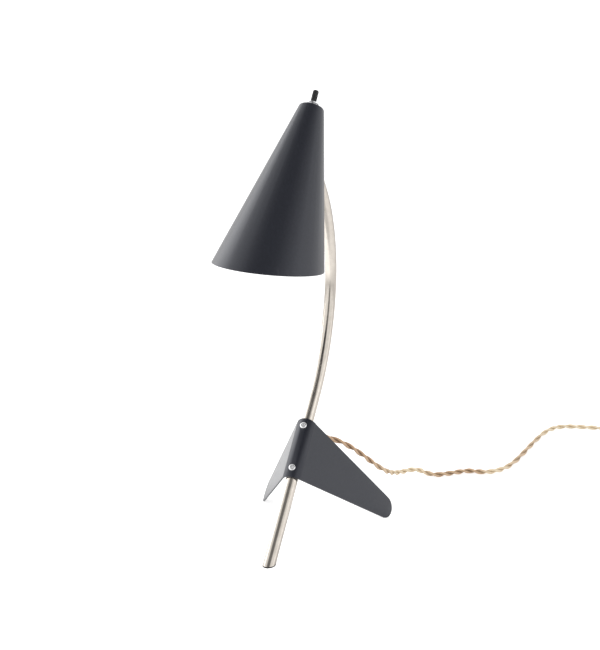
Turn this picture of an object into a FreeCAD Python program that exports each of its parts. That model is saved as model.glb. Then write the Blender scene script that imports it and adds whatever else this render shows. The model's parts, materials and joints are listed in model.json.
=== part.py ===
import FreeCAD, Part
import math
import os
import re
import Sketcher
from FreeCAD import Placement, Rotation, Vector

# Driving sizes in millimetres and degrees: alias, value, what it measures
SIZES = (
    ("rod_diameter", 12.7, "outside of the bent tube"),
    ("rod_wall", 1.2, "wall of the bent tube"),
    ("rod_lean", 47.22, "slope of the straight run above the table"),
    ("rod_setback", 73.55, "origin forward to where the tube's axis meets the table"),
    ("tube_reach", 8.0, "tube below its axis's table point, before it is cut level"),
    ("bend_start", 194.1, "station where the straight run ends"),
    ("lower_bend_radius", 194.1, "first bend, on the tube's axis"),
    ("lower_bend_turn", 31.9, "turn of the first bend"),
    ("upper_bend_radius", 151.5, "second bend, on the tube's axis"),
    ("upper_bend_turn", 63.85, "turn of the second bend"),
    ("slide_fit", 0.05, "radial gap of fixed pieces in their holes"),
    ("running_fit", 0.05, "gap of turning pieces"),
    ("foot_plug_lip", 1.0, "plug under the tube's level end"),
    ("foot_plug_depth", 14.0, "station of the plug's upper end inside the tube"),
    ("sheet_thickness", 1.6, "sheet of the folded foot"),
    ("fold_bend", 10.2, "inside of the fold, which touches the tube in front"),
    ("top_ease", 2.2, "fold's upper end, from its front down to the wings"),
    ("bottom_ease", 0.6, "fold's lower end, from its front up to the wings"),
    ("foot_top", 163.1, "station of the fold's upper end in front"),
    ("foot_bottom", 94.3, "station of the fold's lower end in front"),
    ("foot_spread", 26.9, "each wing's angle from straight back"),
    ("tip_radius", 12.4, "rounded wing tip"),
    ("tip_station", 125.9, "station of the tip's centre"),
    ("screw_low", 104.6, "station of the lower screw"),
    ("screw_high", 154.0, "station of the upper screw"),
    ("screw_diameter", 4.0, "screw shank"),
    ("screw_length", 9.0, "screw under its head"),
    ("screw_head_diameter", 7.3, "pan head"),
    ("screw_head_height", 2.5, "pan head"),
    ("screw_head_round", 1.4, "rounded edge of the pan head"),
    ("screw_hole", 4.4, "hole in tube and sheet"),
    ("recess_width", 1.2, "cross recess"),
    ("recess_span", 4.2, "cross recess"),
    ("recess_depth", 1.3, "cross recess"),
    ("dowel_margin", 4.0, "dowel beyond each screw"),
    ("cord_exit", 162.7, "station of the cord's hole"),
    ("cord_diameter", 6.4, "two twisted strands together"),
    ("cord_gap", 0.1, "radial gap of the cord in its grommet"),
    ("grommet_wall", 0.85, "grommet neck"),
    ("grommet_flange", 11.5, "grommet flange across"),
    ("grommet_lip", 1.6, "grommet flange outside the tube"),
    ("grommet_nose", 4.0, "grommet nose beyond its flange"),
    ("lead_diameter", 3.0, "two-core lead inside the tube"),
    ("lead_bend", 4.0, "lead's bend behind the grommet"),
    ("core_diameter", 1.8, "single lead inside the shade"),
    ("core_spread", 1.0, "each single lead off the middle"),
    ("core_bend", 5.0, "bend of a single lead"),
    ("knuckle_reach", 11.0, "tube's upper end to the pivot"),
    ("knuckle_trim", 0.15, "rounded knuckle smaller than the tube"),
    ("collar_length", 3.0, "collar on the tube's end"),
    ("spigot_depth", 8.0, "knuckle spigot inside the tube"),
    ("tongue_width", 8.0, "tongue between the ears"),
    ("wire_way", 4.4, "bore for the lead"),
    ("pin_diameter", 2.6, "pivot screw tip"),
    ("pin_depth", 1.7, "pivot screw tip in the tongue"),
    ("pivot_thread", 3.0, "pivot screw in the ear"),
    ("pivot_sink", 0.45, "pivot screw below the ear's face"),
    ("swing_gap", 0.5, "fork base off the tongue"),
    ("fork_base", 2.5, "fork base under the nipple"),
    ("nipple_diameter", 9.6, "threaded nipple"),
    ("nipple_spare", 0.85, "nipple beyond its nut"),
    ("saddle_diameter", 13.6, "saddles across"),
    ("saddle_outer_thickness", 3.25, "outer saddle on the nipple's axis"),
    ("saddle_inner_thickness", 2.2, "inner saddle on the nipple's axis"),
    ("nipple_washer_diameter", 15.0, "washer on the nipple"),
    ("nipple_washer_thickness", 0.8, "washer on the nipple"),
    ("nipple_nut_flats", 13.0, "nut on the nipple"),
    ("nipple_nut_thickness", 3.5, "nut on the nipple"),
    ("head_tilt", 27.17, "shade's axis from upright"),
    ("head_roll", 4.64, "shade turned on its nipple"),
    ("shade_top_diameter", 25.5, "cone at its top plane, before rounding"),
    ("shade_half_angle", 13.63, "wall from the shade's axis"),
    ("shade_length", 170.6, "top to the rim's plane on the axis"),
    ("shade_wall", 1.0, "sheet of the shade"),
    ("shoulder_radius", 2.2, "rounded top edge"),
    ("rim_cut", 23.75, "rim's plane from square"),
    ("joint_drop", 48.8, "top down to the nipple on the outer wall"),
    ("nipple_hole_gap", 0.2, "shade's hole round the nipple"),
    ("bracket_thickness", 1.2, "lampholder bracket"),
    ("bracket_width", 15.0, "lampholder bracket"),
    ("bracket_head", 8.0, "bracket above the nipple's axis"),
    ("shelf_reach", 9.0, "bracket shelf in front of the axis"),
    ("holder_drop", 67.9, "top down to the bracket's shelf"),
    ("holder_nipple_diameter", 10.0, "lampholder's threaded nipple"),
    ("holder_nipple_bore", 7.0, "lampholder's threaded nipple"),
    ("holder_nut_flats", 14.0, "nut on the shelf"),
    ("holder_nut_thickness", 3.5, "nut on the shelf"),
    ("holder_diameter", 26.0, "lampholder shell"),
    ("holder_length", 38.0, "lampholder shell"),
    ("holder_wall", 2.4, "lampholder shell"),
    ("holder_roof", 5.0, "lampholder shell's closed end"),
    ("insert_gap", 1.3, "roof to the insert"),
    ("insert_length", 8.0, "lampholder insert"),
    ("sleeve_diameter", 17.0, "threaded sleeve"),
    ("sleeve_bore", 14.2, "threaded sleeve"),
    ("sleeve_length", 21.0, "threaded sleeve"),
    ("contact_diameter", 6.0, "centre contact"),
    ("contact_height", 2.2, "centre contact"),
    ("bulb_base_diameter", 13.9, "screw base"),
    ("bulb_base_length", 18.0, "screw base"),
    ("bulb_tip_length", 2.0, "tapered end of the screw base"),
    ("bulb_diameter", 45.0, "opal globe"),
    ("bulb_length", 56.0, "glass beyond the base"),
    ("bulb_wall", 0.8, "glass"),
    ("switch_diameter", 14.0, "switch body"),
    ("switch_length", 18.0, "switch body"),
    ("bush_diameter", 7.0, "threaded bush"),
    ("bush_rise", 4.8, "bush above the shade's top"),
    ("spindle_diameter", 3.2, "switch spindle"),
    ("spindle_depth", 7.0, "spindle inside the switch"),
    ("spindle_grip", 8.0, "spindle inside the knob"),
    ("washer_diameter", 11.6, "washer under the switch nut"),
    ("washer_thickness", 1.0, "washer under the switch nut"),
    ("switch_nut_flats", 9.6, "switch nut"),
    ("switch_nut_thickness", 1.7, "switch nut"),
    ("ring_gap", 0.9, "dark gap between nut and dress ring"),
    ("ring_diameter", 12.2, "dress ring"),
    ("ring_thickness", 1.1, "dress ring"),
    ("knob_gap", 0.2, "knob above the bush"),
    ("knob_diameter", 5.9, "switch knob"),
    ("knob_length", 13.75, "switch knob"),
    ("knob_round", 1.6, "knob's rounded top"),
    ("groove_diameter", 0.5, "knurl groove"),
    ("floor_gap", 0.1, "cord above the table"),
    ("coil_lift", 4.3, "lower layer's middle above the table"),
    ("coil_radius", 44.0, "outermost turn"),
    ("coil_pitch", 7.0, "turn to turn, and layer to layer"),
    ("coil_tail", 30.0, "straight end into the plug"),
    ("tie_width", 8.0, "band round the coil"),
    ("tie_thickness", 0.8, "band round the coil"),
    ("tie_gap", 0.12, "band to the cord"),
    ("plug_width", 26.0, "mains plug"),
    ("plug_length", 32.0, "mains plug behind its collar"),
    ("plug_collar", 9.0, "tapered collar on the cord"),
    ("plug_round", 4.0, "rounded plug edges"),
    ("blade_width", 6.3, "plug blade"),
    ("blade_thickness", 1.5, "plug blade"),
    ("blade_length", 17.0, "plug blade"),
    ("blade_spacing", 12.7, "blade to blade"),
)
KNURL_GROOVES = 22
COIL_TURNS = 5.25

# Free cord's corners: right, behind the tube's table point, and above the table
CORD_ROUTE = (
    (8.0, 164.5, 84.5),
    (17.0, 194.0, 66.5),
    (25.0, 227.5, 47.5),
    (33.0, 262.5, 28.0),
    (39.5, 287.0, 14.0),
    (45.5, 306.0, 3.3),
    (64.5, 326.5, 3.3),
    (87.5, 322.5, 3.3),
    (107.5, 334.5, 3.3),
    (126.5, 350.5, 3.3),
    (147.5, 354.0, 3.3),
    (164.5, 372.5, 3.3),
    (174.0, 399.5, 3.3),
    (181.0, 446.5, 3.3),
    (187.0, 501.5, 3.3),
    (195.0, 553.5, 3.3),
    (212.0, 583.5, 3.3),
    (246.5, 599.0, 3.6),
    (285.0, 605.0, 4.3),
    (321.6, 605.0, 4.3),
)
CORD_FIRST_RUN = 25.0
CORD_NODES = ("cord_run", "cord_coil", "coil_tie", "plug_body", "plug_blades")


class Sizes:
    """The sheet's values by alias."""


mm = Sizes()
for alias, value, note in SIZES:
    setattr(mm, alias, value)
names = {alias for alias, value, note in SIZES}

os.makedirs("parts", exist_ok=True)
doc = FreeCAD.newDocument("desk_lamp")
sheet = doc.addObject("Spreadsheet::Sheet", "sizes")
for row, (alias, value, note) in enumerate(SIZES, start=1):
    sheet.set("A%d" % row, note)
    sheet.set("B%d" % row, str(value))
    sheet.setAlias("B%d" % row, alias)
doc.recompute()
nodes = {}


def linked(text):
    """An expression in which each alias points at its cell."""
    return re.sub(r"[a-z_]+", lambda m: "sizes." + m.group() if m.group() in names else m.group(), text)


def bind(obj, **sizes):
    for name, text in sizes.items():
        obj.setExpression(name, linked(text))


def node(label, obj, frame=None):
    """Name a finished sub-part and put it in its place."""
    obj.Label = label
    if frame is not None:
        obj.Placement = frame * obj.Placement
    nodes[label] = obj
    return obj


def along_x(angle):
    return Rotation(Vector(1, 0, 0), angle)


def turned(radius, height, base=0.0, frame=Placement(), top=None):
    """A cylinder, or a cone where a top radius is given, standing on the frame's Z axis."""
    if top is None:
        obj = doc.addObject("Part::Cylinder", "turned")
        bind(obj, Radius=radius, Height=height)
    else:
        obj = doc.addObject("Part::Cone", "tapered")
        bind(obj, Radius1=radius, Radius2=top, Height=height)
    obj.Placement = frame * Placement(Vector(0, 0, base), Rotation())
    return obj


def crossbar(radius, width, middle=0.0):
    """A cylinder lying along the frame's X axis, centred at the given distance."""
    obj = doc.addObject("Part::Cylinder", "crossbar")
    bind(obj, Radius=radius, Height=width)
    half = float(obj_size(width)) / 2
    obj.Placement = Placement(Vector(middle - half, 0, 0), Rotation(Vector(0, 1, 0), 90))
    return obj


def obj_size(text):
    """The value of a plain sum of aliases and numbers."""
    total = 0.0
    for sign, factor, word in re.findall(r"([+-]?)\s*(?:([\d.]+)\s*\*\s*)?([a-z_]+|[\d.]+)", text):
        value = getattr(mm, word) if word in names else float(word)
        value = value * float(factor) if factor else value
        total = total - value if sign == "-" else total + value
    return total


def block(x, y, z, base=0.0, frame=Placement(), shift=(0.0, 0.0)):
    """A block centred on the frame's Z axis, or shifted off it."""
    obj = doc.addObject("Part::Box", "block")
    bind(obj, Length=x, Width=y, Height=z)
    corner = Vector(shift[0] - obj_size(x) / 2, shift[1] - obj_size(y) / 2, base)
    obj.Placement = frame * Placement(corner, Rotation())
    return obj


def hexagon(flats, height, base=0.0, frame=Placement()):
    obj = doc.addObject("Part::Prism", "hexagon")
    obj.Polygon = 6
    bind(obj, Circumradius="(%s) / sqrt(3)" % flats, Height=height)
    obj.Placement = frame * Placement(Vector(0, 0, base), Rotation())
    return obj


def fused(*shapes):
    obj = doc.addObject("Part::MultiFuse", "fused")
    obj.Shapes = list(shapes)
    obj.Refine = True
    return obj


def cut(base, *tools):
    obj = doc.addObject("Part::Cut", "cut")
    obj.Base = base
    obj.Tool = tools[0] if len(tools) == 1 else fused(*tools)
    return obj


def common(first, second):
    obj = doc.addObject("Part::Common", "common")
    obj.Base = first
    obj.Tool = second
    return obj


def mirrored(source):
    obj = doc.addObject("Part::Mirroring", "mirrored")
    obj.Source = source
    obj.Normal = Vector(1, 0, 0)
    return obj


def group(*shapes):
    obj = doc.addObject("Part::Compound", "group")
    obj.Links = list(shapes)
    return obj


def rounded(base, radius, wanted):
    """Round the edges for which wanted(edge) is true."""
    doc.recompute()
    obj = doc.addObject("Part::Fillet", "rounded")
    obj.Base = base
    picked = [i for i, edge in enumerate(base.Shape.Edges, start=1) if wanted(edge)]
    obj.Edges = [(i, radius, radius) for i in picked]
    return obj


def circle_at(height):
    """Picks the round edge that lies level at this height."""
    def wanted(edge):
        box = edge.BoundBox
        return abs(box.ZMin - height) < 1e-6 and abs(box.ZMax - height) < 1e-6
    return wanted


def sketch_on(body, role, name):
    planes = {plane.Role: plane for plane in body.Origin.OriginFeatures}
    sketch = body.newObject("Sketcher::SketchObject", name)
    sketch.AttachmentSupport = [(planes[role], "")]
    sketch.MapMode = "FlatFace"
    return sketch


def constrain(sketch, text, *items):
    """Add a constraint; a last item given as text is bound to the sheet."""
    index = sketch.addConstraint(Sketcher.Constraint(*items))
    sketch.setExpression("Constraints[%d]" % index, linked(text))


# Frames of the tube, its upper end, the fork and the shade
rod_frame = Placement(Vector(0, -mm.rod_setback, 0), along_x(mm.rod_lean - 90))
lean = math.radians(mm.rod_lean)
first_turn = math.radians(mm.lower_bend_turn)
whole_turn = first_turn + math.radians(mm.upper_bend_turn)
rod_radius = mm.rod_diameter / 2
bore_radius = rod_radius - mm.rod_wall
fold_front = rod_radius + mm.slide_fit
fold_back = mm.fold_bend - fold_front
table_frame = rod_frame.inverse() * Placement(Vector(0, -mm.rod_setback, 0), Rotation())
lower_centre = Vector(0, -mm.lower_bend_radius, mm.bend_start)
bend_step = mm.lower_bend_radius - mm.upper_bend_radius
upper_centre = lower_centre + Vector(0, math.cos(first_turn), math.sin(first_turn)) * bend_step


def on_bend(centre, radius, angle):
    return centre + Vector(0, math.cos(angle), math.sin(angle)) * radius


rod_top = on_bend(upper_centre, mm.upper_bend_radius, whole_turn)
top_way = Vector(0, -math.sin(whole_turn), math.cos(whole_turn))
pivot = rod_frame.multVec(rod_top + top_way * mm.knuckle_reach)
end_slope = mm.rod_lean + mm.lower_bend_turn + mm.upper_bend_turn
knuckle_frame = Placement(pivot, along_x(end_slope - 90))
fork_frame = Placement(pivot, along_x(90 - mm.head_tilt + mm.shade_half_angle))
exit_frame = Placement(Vector(0, 0, mm.cord_exit), along_x(-90))

knuckle_radius = rod_radius - mm.knuckle_trim
base_start = knuckle_radius + mm.swing_gap
base_end = base_start + mm.fork_base
wall_reach = base_end + mm.running_fit + mm.saddle_outer_thickness
half_angle = math.radians(mm.shade_half_angle)
joint_radius = mm.shade_top_diameter / 2 + mm.joint_drop * math.tan(half_angle)
wall_point = Vector(0, joint_radius, -mm.joint_drop)
wall_frame = Placement(wall_point, along_x(90 + mm.shade_half_angle))
inward = fork_frame.Rotation.multVec(Vector(0, 0, 1))
head_turn = Rotation(inward * -1, mm.head_roll).multiply(along_x(-mm.head_tilt))
head_origin = pivot + inward * wall_reach - head_turn.multVec(wall_point)
head_frame = Placement(head_origin, head_turn)


def make_rod():
    """Tube along the straight run and two bends, cut level below, with three holes."""
    body = doc.addObject("PartDesign::Body", "rod_body")
    path = sketch_on(body, "YZ_Plane", "rod_path")
    start = Vector(0, -mm.tube_reach, 0)
    bend = Vector(0, mm.bend_start, 0)
    line = path.addGeometry(Part.LineSegment(start, bend))
    axis = Vector(0, 0, 1)
    low = Part.Circle(Vector(lower_centre.y, lower_centre.z, 0), axis, mm.lower_bend_radius)
    high = Part.Circle(Vector(upper_centre.y, upper_centre.z, 0), axis, mm.upper_bend_radius)
    lower = path.addGeometry(Part.ArcOfCircle(low, 0, first_turn))
    upper = path.addGeometry(Part.ArcOfCircle(high, first_turn, whole_turn))
    path.addConstraint(Sketcher.Constraint("PointOnObject", line, 1, -2))
    path.addConstraint(Sketcher.Constraint("PointOnObject", line, 2, -2))
    constrain(path, "tube_reach", "DistanceY", line, 1, -1, 1, mm.tube_reach)
    constrain(path, "bend_start", "DistanceY", -1, 1, line, 2, mm.bend_start)
    path.addConstraint(Sketcher.Constraint("Tangent", line, 2, lower, 1))
    path.addConstraint(Sketcher.Constraint("Tangent", lower, 2, upper, 1))
    constrain(path, "lower_bend_radius", "Radius", lower, mm.lower_bend_radius)
    constrain(path, "upper_bend_radius", "Radius", upper, mm.upper_bend_radius)
    constrain(path, "lower_bend_turn", "Angle", lower, first_turn)
    constrain(path, "upper_bend_turn", "Angle", upper, whole_turn - first_turn)
    section = sketch_on(body, "XY_Plane", "rod_section")
    bind(section, **{"AttachmentOffset.Base.z": "-tube_reach"})
    for radius, text in ((rod_radius, "rod_diameter / 2"), (bore_radius, "rod_diameter / 2 - rod_wall")):
        ring = section.addGeometry(Part.Circle(Vector(), axis, radius))
        section.addConstraint(Sketcher.Constraint("Coincident", ring, 3, -1, 1))
        constrain(section, text, "Radius", ring, radius)
    pipe = body.newObject("PartDesign::AdditivePipe", "rod_pipe")
    pipe.Profile = section
    pipe.Spine = (path, ["Edge1", "Edge2", "Edge3"])
    holes = [screw_hole(station) for station in (mm.screw_low, mm.screw_high)]
    neck = "cord_diameter / 2 + cord_gap + grommet_wall + slide_fit"
    holes.append(turned(neck, "rod_diameter", frame=exit_frame))
    node("rod", cut(body, below_table("foot_plug_lip"), *holes), rod_frame)


def below_table(height):
    """Everything round the tube's foot that lies below this height over the table."""
    deep = 2 * mm.rod_diameter
    return block("4 * rod_diameter", "4 * rod_diameter", "2 * rod_diameter + " + height, -deep, table_frame)


def screw_frame(station):
    return Placement(Vector(0, 0, station), along_x(90))


def screw_hole(station):
    return turned("screw_hole / 2", "rod_diameter", frame=screw_frame(station))


def make_foot_plug():
    """Black plug in the tube's lower end, with a lip under the tube that stands on the table."""
    bar = turned("rod_diameter / 2", "2 * tube_reach", -mm.tube_reach)
    lip = common(bar, below_table("foot_plug_lip"))
    spigot_radius = "rod_diameter / 2 - rod_wall - slide_fit"
    spigot = turned(spigot_radius, "tube_reach + foot_plug_depth", -mm.tube_reach)
    node("foot_plug", cut(fused(lip, spigot), below_table("0")), rod_frame)


def tip_reach():
    """How far out the tip's centre lies so that the wing's inner edge rests on the table."""
    spread = math.radians(mm.foot_spread)
    fall = math.cos(spread) * math.cos(lean)
    steep = math.hypot(math.sin(lean), fall)
    forward = mm.fold_bend * math.sin(spread) - fold_back
    height = mm.tip_station * math.sin(lean) + forward * math.cos(lean)
    return (height - mm.tip_radius * steep) / fall


def make_wing():
    """Right wing: straight edges from the fold, tangent to the rounded tip."""
    body = doc.addObject("PartDesign::Body", "wing_body")
    sketch = sketch_on(body, "XY_Plane", "wing_outline")
    centre = Vector(tip_reach(), mm.tip_station, 0)
    lower = mm.foot_bottom + mm.bottom_ease
    upper = mm.foot_top - mm.top_ease
    touch = []
    for station, side in ((lower, -1), (upper, 1)):
        way = centre - Vector(0, station, 0)
        turn = math.atan2(way.y, way.x) + side * math.asin(mm.tip_radius / way.Length)
        touch.append(turn + side * math.pi / 2)
    low = centre + Vector(math.cos(touch[0]), math.sin(touch[0]), 0) * mm.tip_radius
    high = centre + Vector(math.cos(touch[1]), math.sin(touch[1]), 0) * mm.tip_radius
    tip = Part.Circle(centre, Vector(0, 0, 1), mm.tip_radius)
    bottom = sketch.addGeometry(Part.LineSegment(Vector(0, lower, 0), low))
    arc = sketch.addGeometry(Part.ArcOfCircle(tip, touch[0], touch[1]))
    top = sketch.addGeometry(Part.LineSegment(high, Vector(0, upper, 0)))
    fold = sketch.addGeometry(Part.LineSegment(Vector(0, upper, 0), Vector(0, lower, 0)))
    sketch.addConstraint(Sketcher.Constraint("Tangent", bottom, 2, arc, 1))
    sketch.addConstraint(Sketcher.Constraint("Tangent", arc, 2, top, 1))
    sketch.addConstraint(Sketcher.Constraint("Coincident", top, 2, fold, 1))
    sketch.addConstraint(Sketcher.Constraint("Coincident", fold, 2, bottom, 1))
    sketch.addConstraint(Sketcher.Constraint("PointOnObject", fold, 1, -2))
    sketch.addConstraint(Sketcher.Constraint("PointOnObject", fold, 2, -2))
    constrain(sketch, "foot_top - top_ease", "DistanceY", -1, 1, fold, 1, upper)
    constrain(sketch, "foot_bottom + bottom_ease", "DistanceY", -1, 1, fold, 2, lower)
    constrain(sketch, "tip_radius", "Radius", arc, mm.tip_radius)
    constrain(sketch, "tip_station", "DistanceY", -1, 1, arc, 3, mm.tip_station)
    forward = "fold_bend * sin(foot_spread) - fold_bend + rod_diameter / 2 + slide_fit"
    height = "tip_station * sin(rod_lean) + (%s) * cos(rod_lean)" % forward
    steep = "sqrt(pow(sin(rod_lean); 2) + pow(cos(foot_spread) * cos(rod_lean); 2))"
    reach = "(%s - tip_radius * %s) / (cos(foot_spread) * cos(rod_lean))" % (height, steep)
    constrain(sketch, reach, "DistanceX", -1, 1, arc, 3, centre.x)
    pad = body.newObject("PartDesign::Pad", "wing_pad")
    pad.Profile = sketch
    bind(pad, Length="sheet_thickness")
    spread = math.radians(mm.foot_spread)
    normal = Vector(math.cos(spread), -math.sin(spread), 0)
    outward = Vector(math.sin(spread), math.cos(spread), 0)
    corner = Vector(0, fold_back, 0) + normal * mm.fold_bend
    body.Placement = Placement(corner, Rotation(outward, Vector(0, 0, 1), normal, "XYZ"))
    return body


def make_crow_foot():
    """Sheet folded round the tube's front, with a wing to each side and two screw holes."""
    axis = Vector(0, fold_back, 0)
    spin = Placement(axis, Rotation(Vector(0, 0, 1), 180 + mm.foot_spread))
    outside = turned("fold_bend + sheet_thickness", "foot_top - foot_bottom", mm.foot_bottom, spin)
    bind(outside, Angle="180 - 2 * foot_spread")
    inside = turned("fold_bend", "foot_top - foot_bottom", mm.foot_bottom, Placement(axis, Rotation()))
    front = -fold_front - mm.sheet_thickness
    side = fold_back - (mm.fold_bend + mm.sheet_thickness / 2) * math.sin(math.radians(mm.foot_spread))
    ends = []
    for station, ease, turn in ((mm.foot_top, mm.top_ease, 0), (mm.foot_bottom, -mm.bottom_ease, 180)):
        slope = math.degrees(math.atan2(ease, side - front))
        frame = Placement(Vector(0, front, station), along_x(turn - slope))
        ends.append(block("4 * fold_bend", "4 * fold_bend", "fold_bend", frame=frame))
    right = make_wing()
    sheet_form = fused(cut(outside, inside, *ends), right, mirrored(right))
    holes = [screw_hole(station) for station in (mm.screw_low, mm.screw_high)]
    node("crow_foot", cut(sheet_form, *holes), rod_frame)


def make_screw(station):
    """Pan-head screw with a cross recess, seated on the fold."""
    seat = fold_front + mm.sheet_thickness
    frame = screw_frame(station)
    head = turned("screw_head_diameter / 2", "screw_head_height", seat)
    head = rounded(head, mm.screw_head_round, circle_at(seat + mm.screw_head_height))
    shank = turned("screw_diameter / 2", "screw_length", seat - mm.screw_length)
    floor = seat + mm.screw_head_height - mm.recess_depth
    across = block("recess_span", "recess_width", "2 * recess_depth", floor)
    upright = block("recess_width", "recess_span", "2 * recess_depth", floor)
    screw = cut(fused(head, shank), across, upright)
    screw.Placement = frame
    return screw


def make_foot_screws():
    pair = group(make_screw(mm.screw_low), make_screw(mm.screw_high))
    node("foot_screws", pair, rod_frame)


def make_screw_dowel():
    """Tapped dowel inside the tube."""
    length = "screw_high - screw_low + 2 * dowel_margin"
    bar = turned("rod_diameter / 2 - rod_wall - slide_fit", length, mm.screw_low - mm.dowel_margin)
    holes = []
    for station in (mm.screw_low, mm.screw_high):
        holes.append(turned("screw_diameter / 2 + slide_fit", "2 * rod_diameter", -mm.rod_diameter,
                            screw_frame(station)))
    node("screw_dowel", cut(bar, *holes), rod_frame)


def make_cord_grommet():
    """Grommet in the tube's back that the cord leaves through."""
    neck_radius = "cord_diameter / 2 + cord_gap + grommet_wall"
    length = "rod_wall + grommet_lip + grommet_nose"
    neck = turned(neck_radius, length, bore_radius, exit_frame)
    flange = turned("grommet_flange / 2", "rod_diameter / 2 + grommet_lip", 0.0, exit_frame)
    tube = turned("rod_diameter / 2", "4 * rod_diameter", mm.cord_exit - 2 * mm.rod_diameter)
    hole = turned("cord_diameter / 2 + cord_gap", "2 * rod_diameter", 0.0, exit_frame)
    node("cord_grommet", cut(fused(cut(flange, tube), neck), hole), rod_frame)


def arc_edge(centre, radius, start, end):
    points = [on_bend(centre, radius, start + (end - start) * part) for part in (0.0, 0.5, 1.0)]
    return Part.Arc(*points).toShape()


def swept(edges, diameter, way):
    """A round tube along joined edges, starting square to the given way."""
    spine = Part.Wire(edges)
    start = spine.Vertexes[0].Point if len(edges) == 1 else edges[0].firstVertex().Point
    ring = Part.Wire(Part.Circle(start, way, diameter / 2).toShape())
    solid = spine.makePipeShell([ring], True, False)
    wanted = math.pi * diameter ** 2 / 4 * spine.Length
    return solid, wanted, spine.Length


def tube_node(label, edges, diameter, way, frame=None):
    solid, wanted, length = swept(edges, diameter, way)
    print("%s: length %.1f mm, volume %.4f of section by length" % (label, length, solid.Volume / wanted))
    obj = doc.addObject("Part::Feature", label + "_form")
    obj.Shape = solid
    return node(label, obj, frame)


def make_inner_lead():
    """Lead from the grommet up the tube to the knuckle's pivot."""
    bend_centre = Vector(0, mm.lead_bend, mm.cord_exit + mm.lead_bend)
    corner = Vector(0, mm.lead_bend, mm.cord_exit)
    edges = [Part.LineSegment(Vector(0, bore_radius, mm.cord_exit), corner).toShape()]
    edges.append(arc_edge(bend_centre, mm.lead_bend, -math.pi / 2, -math.pi))
    rise = Vector(0, 0, bend_centre.z)
    edges.append(Part.LineSegment(rise, Vector(0, 0, mm.bend_start)).toShape())
    edges.append(arc_edge(lower_centre, mm.lower_bend_radius, 0.0, first_turn))
    edges.append(arc_edge(upper_centre, mm.upper_bend_radius, first_turn, whole_turn))
    end = rod_top + top_way * (mm.knuckle_reach - 1.0)
    edges.append(Part.LineSegment(rod_top, end).toShape())
    tube_node("inner_lead", edges, mm.lead_diameter, Vector(0, -1, 0), rod_frame)


def make_knuckle_base():
    """Spigot and collar on the tube's end, with the tongue that carries the pivot."""
    bend_room = "spigot_depth * spigot_depth / (2 * upper_bend_radius)"
    spigot = turned("rod_diameter / 2 - rod_wall - 2 * slide_fit - " + bend_room, "spigot_depth",
                    -mm.knuckle_reach - mm.spigot_depth)
    collar = turned("rod_diameter / 2", "collar_length", -mm.knuckle_reach)
    disc = crossbar("rod_diameter / 2 - knuckle_trim", "tongue_width")
    sides = block("tongue_width", "rod_diameter - 2 * knuckle_trim", "knuckle_reach", -mm.knuckle_reach)
    stock = turned("rod_diameter / 2", "2 * rod_diameter", -mm.knuckle_reach)
    tongue = common(fused(disc, sides), stock)
    bore = turned("wire_way / 2", "spigot_depth + knuckle_reach + rod_diameter",
                  -mm.knuckle_reach - mm.spigot_depth)
    slot = block("wire_way", "2 * rod_diameter", "rod_diameter")
    pin = crossbar("pin_diameter / 2 + running_fit", "2 * tongue_width")
    node("knuckle_base", cut(fused(spigot, collar, tongue), bore, slot, pin), knuckle_frame)


def make_knuckle_fork():
    """Two ears about the tongue, and the hollow nipple that goes through the shade."""
    disc = crossbar("rod_diameter / 2 - knuckle_trim", "rod_diameter")
    sides = block("rod_diameter", "rod_diameter - 2 * knuckle_trim",
                  "rod_diameter / 2 - knuckle_trim + swing_gap")
    stock = turned("rod_diameter / 2", "rod_diameter + swing_gap", -rod_radius - mm.knuckle_trim)
    slot = block("tongue_width + 2 * running_fit", "2 * rod_diameter",
                 "rod_diameter + swing_gap", -rod_radius - mm.knuckle_trim)
    ears = cut(common(fused(disc, sides), stock), slot)
    base = turned("rod_diameter / 2", "fork_base", base_start)
    rise = "running_fit + saddle_outer_thickness + shade_wall + saddle_inner_thickness"
    rise = rise + " + bracket_thickness + running_fit"
    rise = rise + " + nipple_washer_thickness + nipple_nut_thickness + nipple_spare"
    nipple = turned("nipple_diameter / 2", rise, base_end)
    bore = turned("wire_way / 2", "4 * rod_diameter", base_start - 1.0)
    threads = crossbar("pivot_thread / 2 + slide_fit", "2 * rod_diameter")
    node("knuckle_fork", cut(fused(ears, base, nipple), bore, threads), fork_frame)


def make_pivot_screws():
    """Set screws in the ears whose tips run in the tongue."""
    inner = mm.tongue_width / 2 - mm.pin_depth
    middle = mm.tongue_width / 2 + mm.running_fit
    outer = rod_radius - mm.pivot_sink
    turn = Placement(Vector(), Rotation(Vector(0, 1, 0), 90))
    tip = turned("pin_diameter / 2", "pin_depth + running_fit", inner, turn)
    thread = turned("pivot_thread / 2", "rod_diameter / 2 - pivot_sink - tongue_width / 2 - running_fit",
                    middle, turn)
    slot = block("pivot_thread", "recess_width / 2", "pivot_thread / 2", outer - 0.9, turn)
    right = cut(fused(tip, thread), slot)
    node("pivot_screws", group(right, mirrored(right)), fork_frame)


def in_wall(start):
    """Distance along the fork's axis of a depth inside the shade's wall."""
    return wall_reach + start


washer_start = (mm.shade_wall + mm.saddle_inner_thickness + mm.bracket_thickness + mm.running_fit)
nut_start = washer_start + mm.nipple_washer_thickness
nipple_end = nut_start + mm.nipple_nut_thickness + mm.nipple_spare


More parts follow.
